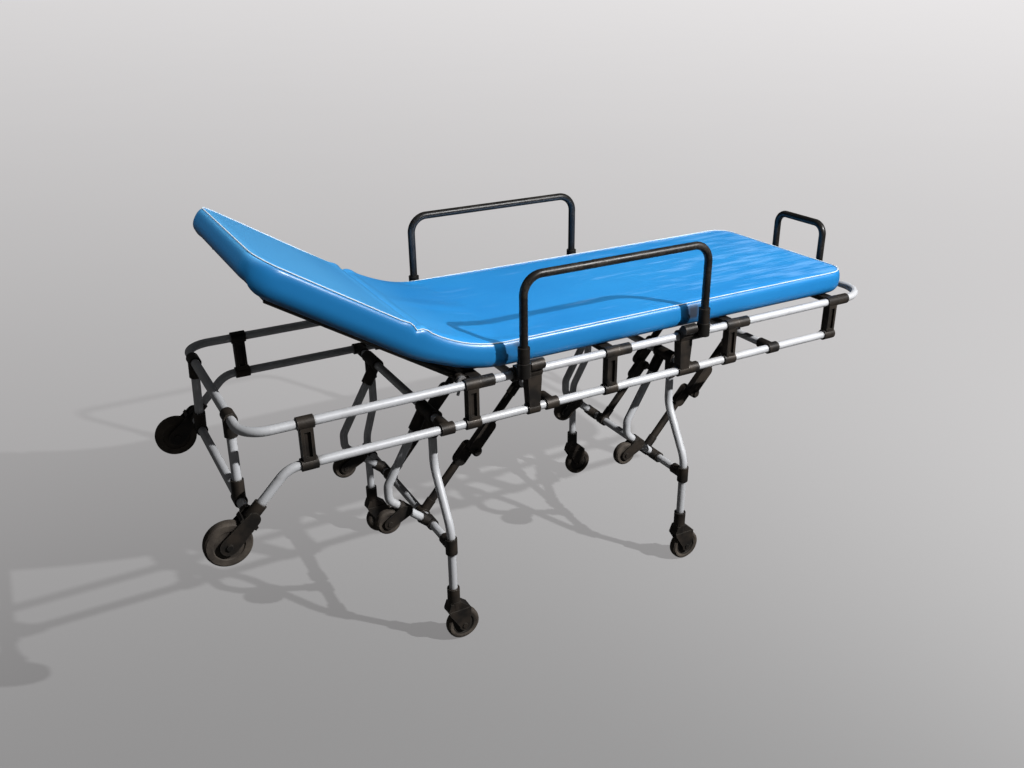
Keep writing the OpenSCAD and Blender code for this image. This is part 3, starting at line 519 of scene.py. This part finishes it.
def cord_along(name, line, radius, around=8):
    """A round cord swept along a closed line."""
    count = len(line)
    line = [Vector(p) for p in line]
    points, faces = [], []
    for i, p in enumerate(line):
        along = (line[(i + 1) % count] - line[i - 1]).normalized()
        side = along.cross(Vector((0, 0, 1))).normalized()
        up = side.cross(along)
        for a in range(around):
            turn = 2 * math.pi * a / around
            points.append(p + (side * math.cos(turn) + up * math.sin(turn)) * radius)
            nxt = (i + 1) % count
            faces.append((i * around + a, i * around + (a + 1) % around,
                          nxt * around + (a + 1) % around, nxt * around + a))
    mesh = bpy.data.meshes.new(name)
    mesh.from_pydata(points, [], faces)
    for face in mesh.polygons:
        face.use_smooth = True
    piece = bpy.data.objects.new(name, mesh)
    bpy.context.scene.collection.objects.link(piece)
    return piece


def piping_cord():
    f = Finish(bpy.data.materials.new("piping_cord"))
    at = f.place()
    twist = f.noise(at, 260.0, 3.0)
    colour = f.mix(twist, (0.80, 0.86, 0.90, 1), (0.45, 0.60, 0.74, 1))
    return f.close(Base_Color=colour, Roughness=0.45 + twist * 0.2, height=twist, depth=0.0004)


piping = cord_along("mattress_piping", seam_line, 0.0016)
piping.data.materials.append(piping_cord())
for piece in (mattress, piping):
    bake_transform(piece)
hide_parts("mattress_seat", "mattress_back")

# ---------------------------------------------------------------- studio
# Pale sweep paper and a pale wall far off, a lamp high on the foot side, and a wide soft light above
# that lights the mattress only, so that the frame under it stays dark.

FLOOR_GREY = (0.20, 0.20, 0.20, 1)
DIM_AT = Vector((-1.213, -2.104, 0))
DIM_ACROSS = Vector((0.879, -0.478, 0))


def sweep_paper():
    """Pale paper whose painted glow fades from a dim near part to a bright far part, a little brighter to
    one side.
    """
    f = Finish(bpy.data.materials.new("sweep_paper"))
    x, y, z = f.axes(f.place())
    dx, dy = x - DIM_AT.x, y - DIM_AT.y
    reach = ((dx * dx + dy * dy) ** 0.5).most(1.45)
    near = f.node("Math", {"operation": "DIVIDE"}, {0: 1.6, 1: reach})
    side = (dx * DIM_ACROSS.x + dy * DIM_ACROSS.y) / reach
    cloud = f.noise(f.place(), 0.6, 3.0)
    glow = 0.765 - near * 1.04 + near * near * 0.46 + side * (0.16 - near * 0.18)
    glow = (glow + (cloud - 0.5) * 0.012).most(0.02).least(0.85)
    tone = f.node("CombineColor", sockets={0: glow, 1: glow * 0.978, 2: glow * 0.982})
    paper = f.mix(cloud, FLOOR_GREY, (0.19, 0.19, 0.19, 1))
    return f.close(Base_Color=paper, Roughness=0.85, Specular_IOR_Level=0.0, Emission_Color=tone,
                   Emission_Strength=1.0)


def far_paint():
    f = Finish(bpy.data.materials.new("far_paint"))
    cloud = f.noise(f.place(), 0.02, 2.0)
    tone = f.mix(cloud, (0.70, 0.70, 0.70, 1), (0.66, 0.66, 0.66, 1))
    return f.close(Base_Color=(0, 0, 0, 1), Roughness=1.0, Emission_Color=tone, Emission_Strength=1.0)


bpy.ops.mesh.primitive_circle_add(vertices=96, radius=90, fill_type="NGON", location=(0, 0, 0))
floor = bpy.context.object
floor.name = "floor"
floor.data.materials.append(sweep_paper())
bpy.ops.mesh.primitive_uv_sphere_add(segments=64, ring_count=32, radius=88, location=(0, 0, 0))
wall = bpy.context.object
wall.name = "far_wall"
wall.data.materials.append(far_paint())
for backdrop in (floor, wall):
    backdrop.visible_diffuse = backdrop.visible_glossy = False
wall.visible_shadow = False

world = bpy.data.worlds.new("studio_air")
bpy.context.scene.world = world
air = Finish(world)
height = air.axes(air.node("TexCoord", out="Generated"))[2]
glow = air.ramp(height, (0.0, 0.045), (0.5, 0.02), (0.85, 0.03), (1.0, 0.10))
light = air.node("Background", sockets={"Color": glow, "Strength": 1.0})
air.node("OutputWorld", sockets={"Surface": light})

LAMP_AT, LAMP_AIM = Vector((1.84, -2.68, 3.08)), Vector((-0.1, 0.0, 0.5))
lamp = bpy.data.lights.new("key_lamp", "AREA")
lamp.shape, lamp.size, lamp.energy = "DISK", 0.07, 168
lamp_object = bpy.data.objects.new("key_lamp", lamp)
lamp_object.matrix_world = (Matrix.Translation(LAMP_AT)
                            @ (LAMP_AIM - LAMP_AT).to_track_quat("-Z", "Y").to_matrix().to_4x4())
bpy.context.scene.collection.objects.link(lamp_object)
ceiling = bpy.data.lights.new("ceiling", "AREA")
ceiling.shape, ceiling.size, ceiling.energy = "DISK", 9.0, 400
ceiling_object = bpy.data.objects.new("ceiling", ceiling)
ceiling_object.location = (0, 0, 6)
ceiling_object.visible_glossy = False
bpy.context.scene.collection.objects.link(ceiling_object)
lit = bpy.data.collections.new("lit_from_above")
for piece in bpy.context.scene.objects:
    if piece in (mattress, piping):
        lit.objects.link(piece)
ceiling_object.light_linking.receiver_collection = lit

CAMERA_AT = Vector((-1.21315, -2.1042, 1.6152))
YAW, PITCH, ROLL = (math.radians(a) for a in (28.524, 24.017, -0.752))
ahead = Vector((math.sin(YAW) * math.cos(PITCH), math.cos(YAW) * math.cos(PITCH), -math.sin(PITCH)))
level = Vector((math.cos(YAW), -math.sin(YAW), 0))
above = level.cross(ahead)
across = level * math.cos(ROLL) + above * math.sin(ROLL)
upward = above * math.cos(ROLL) - level * math.sin(ROLL)
view = bpy.data.cameras.new("camera")
view.lens, view.sensor_width, view.clip_end = 32.46, 36.0, 400
camera = bpy.data.objects.new("camera", view)
camera.matrix_world = Matrix.Translation(CAMERA_AT) @ Matrix((across, upward, -ahead)).transposed().to_4x4()
bpy.context.scene.collection.objects.link(camera)
bpy.context.scene.camera = camera
bpy.context.scene.view_settings.view_transform = "Standard"
